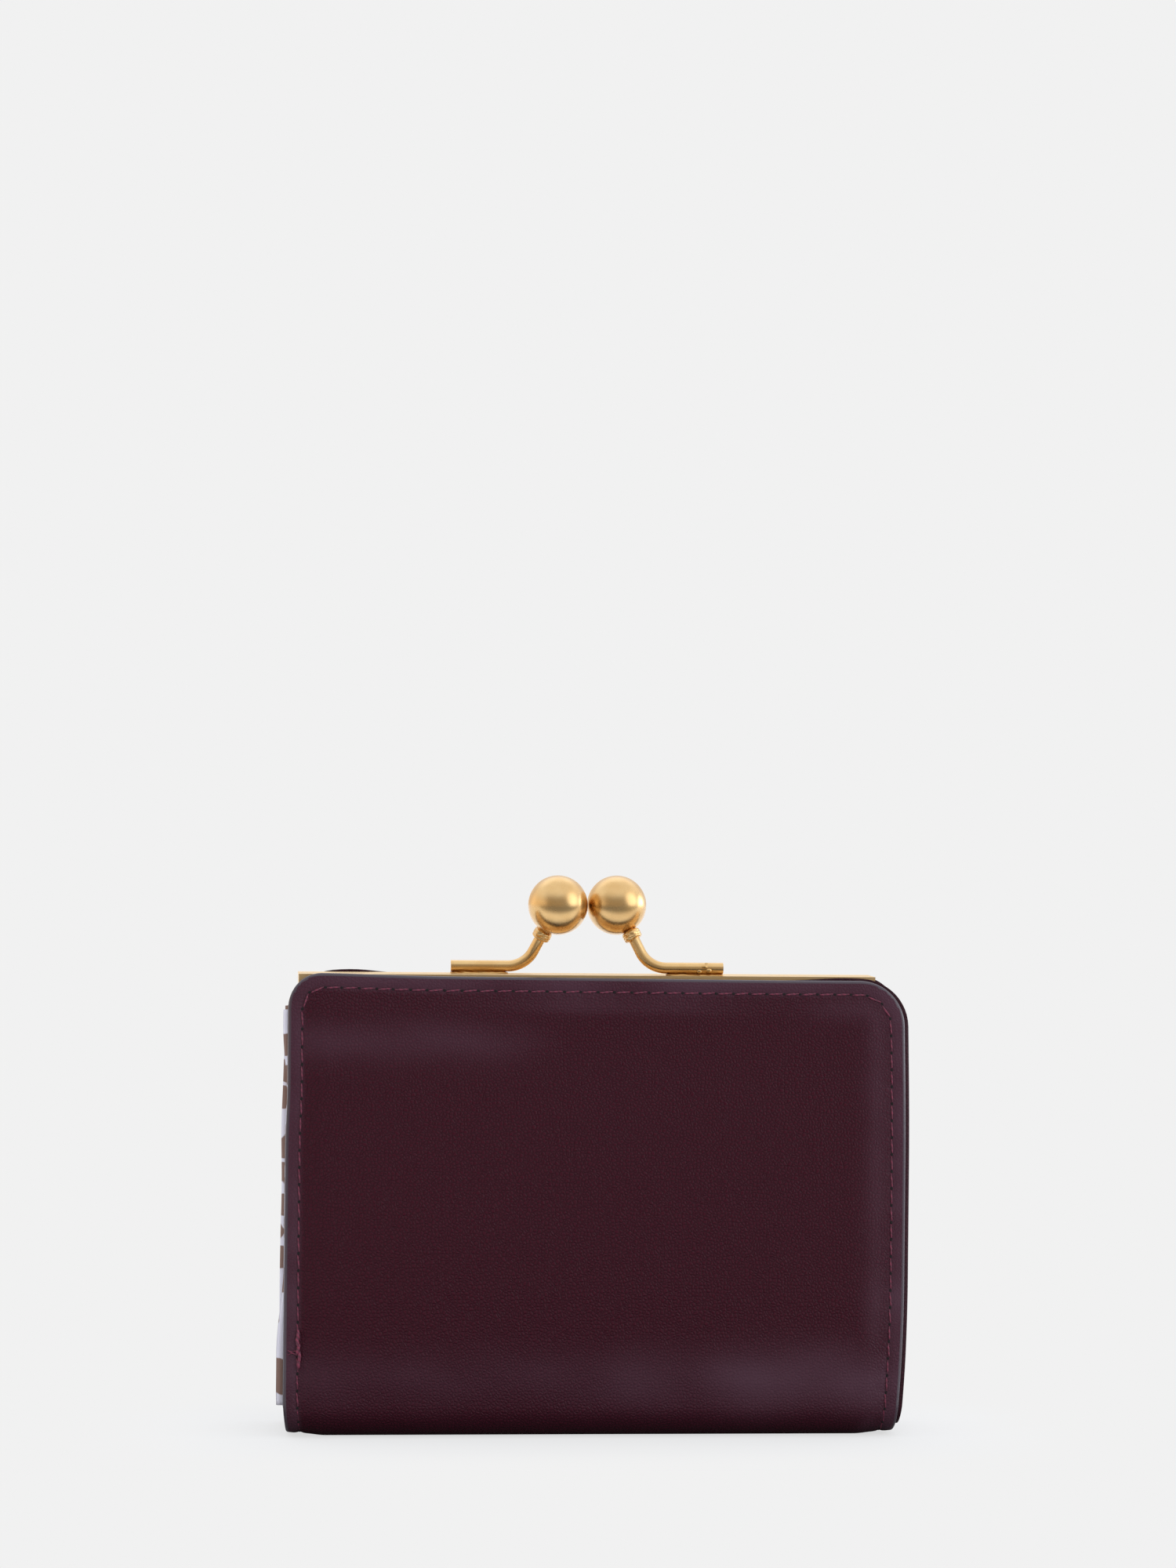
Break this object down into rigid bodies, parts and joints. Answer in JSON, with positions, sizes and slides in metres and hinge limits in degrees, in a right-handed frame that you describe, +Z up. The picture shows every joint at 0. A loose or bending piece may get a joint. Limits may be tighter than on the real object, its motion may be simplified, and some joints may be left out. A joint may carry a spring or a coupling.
{
  "type": "kiss lock frame purse",
  "caption": "Compact padded leather purse on a brass channel frame that opens in two halves and closes with a pair of crossing ball clasps.",
  "frame": {"origin": "middle of the base on the surface that the purse stands on", "axes": "+Z up, -Y towards the front panel, +X to the right along the frame"},
  "size_m": [0.1118, 0.024, 0.0984],
  "materials": {
    "outer_leather": "dark burgundy calf leather, fine pebble grain, satin",
    "facing_leather": "smooth burgundy leather facing",
    "foam": "thin foam padding",
    "lining_fabric": "printed cotton lining, pale ground with brown patches",
    "welt_tape": "dark woven tape",
    "antique_brass": "satin antique brass",
    "solder": "brass-coloured hard solder, lumpy and dull",
    "paper_cord": "twisted paper cord"
  },
  "bodies": {
    "pouch": {"cover_base": "outer_leather", "cover_front_bend": "outer_leather", "cover_rear_bend": "outer_leather", "padding_base": "foam", "facing_base": "facing_leather", "facing_front_bend": "facing_leather", "facing_rear_bend": "facing_leather", "lining_base": "lining_fabric", "lining_front_bend": "lining_fabric", "lining_rear_bend": "lining_fabric", "gusset_left": "lining_fabric", "gusset_right": "lining_fabric", "gusset_left_top": "lining_fabric", "gusset_right_top": "lining_fabric", "gusset_tab_left": "outer_leather", "gusset_tab_right": "outer_leather", "hinge_rivet_left": "antique_brass", "hinge_rivet_right": "antique_brass"},
    "front_half": {"cover_front": "outer_leather", "padding_front": "foam", "facing_front": "facing_leather", "lining_front": "lining_fabric", "welt_front": "welt_tape", "frame_front": "antique_brass", "channel_cord_front": "paper_cord", "clasp_wire_front": "antique_brass", "solder_bed_front": "solder", "ball_collar_front": "antique_brass", "clasp_ball_front": "antique_brass"},
    "rear_half": {"cover_rear": "outer_leather", "padding_rear": "foam", "facing_rear": "facing_leather", "lining_rear": "lining_fabric", "welt_rear": "welt_tape", "frame_rear": "antique_brass", "channel_cord_rear": "paper_cord", "clasp_wire_rear": "antique_brass", "solder_bed_rear": "solder", "ball_collar_rear": "antique_brass", "clasp_ball_rear": "antique_brass"}
  },
  "joints": [
    {"name": "front_swing", "type": "hinge", "parent": "pouch", "child": "front_half", "pos_m": [0, 0, 0.0577], "axis": [1, 0, 0], "range_deg": [0, 35], "deforming": ["cover_front_bend", "facing_front_bend", "lining_front_bend", "gusset_left_top", "gusset_right_top"]},
    {"name": "rear_swing", "type": "hinge", "parent": "pouch", "child": "rear_half", "pos_m": [0, 0, 0.0577], "axis": [-1, 0, 0], "range_deg": [0, 35], "deforming": ["cover_rear_bend", "facing_rear_bend", "lining_rear_bend"]}
  ],
  "couplings": [
    {"joint": "rear_swing", "follows": "front_swing", "ratio": 1}
  ]
}
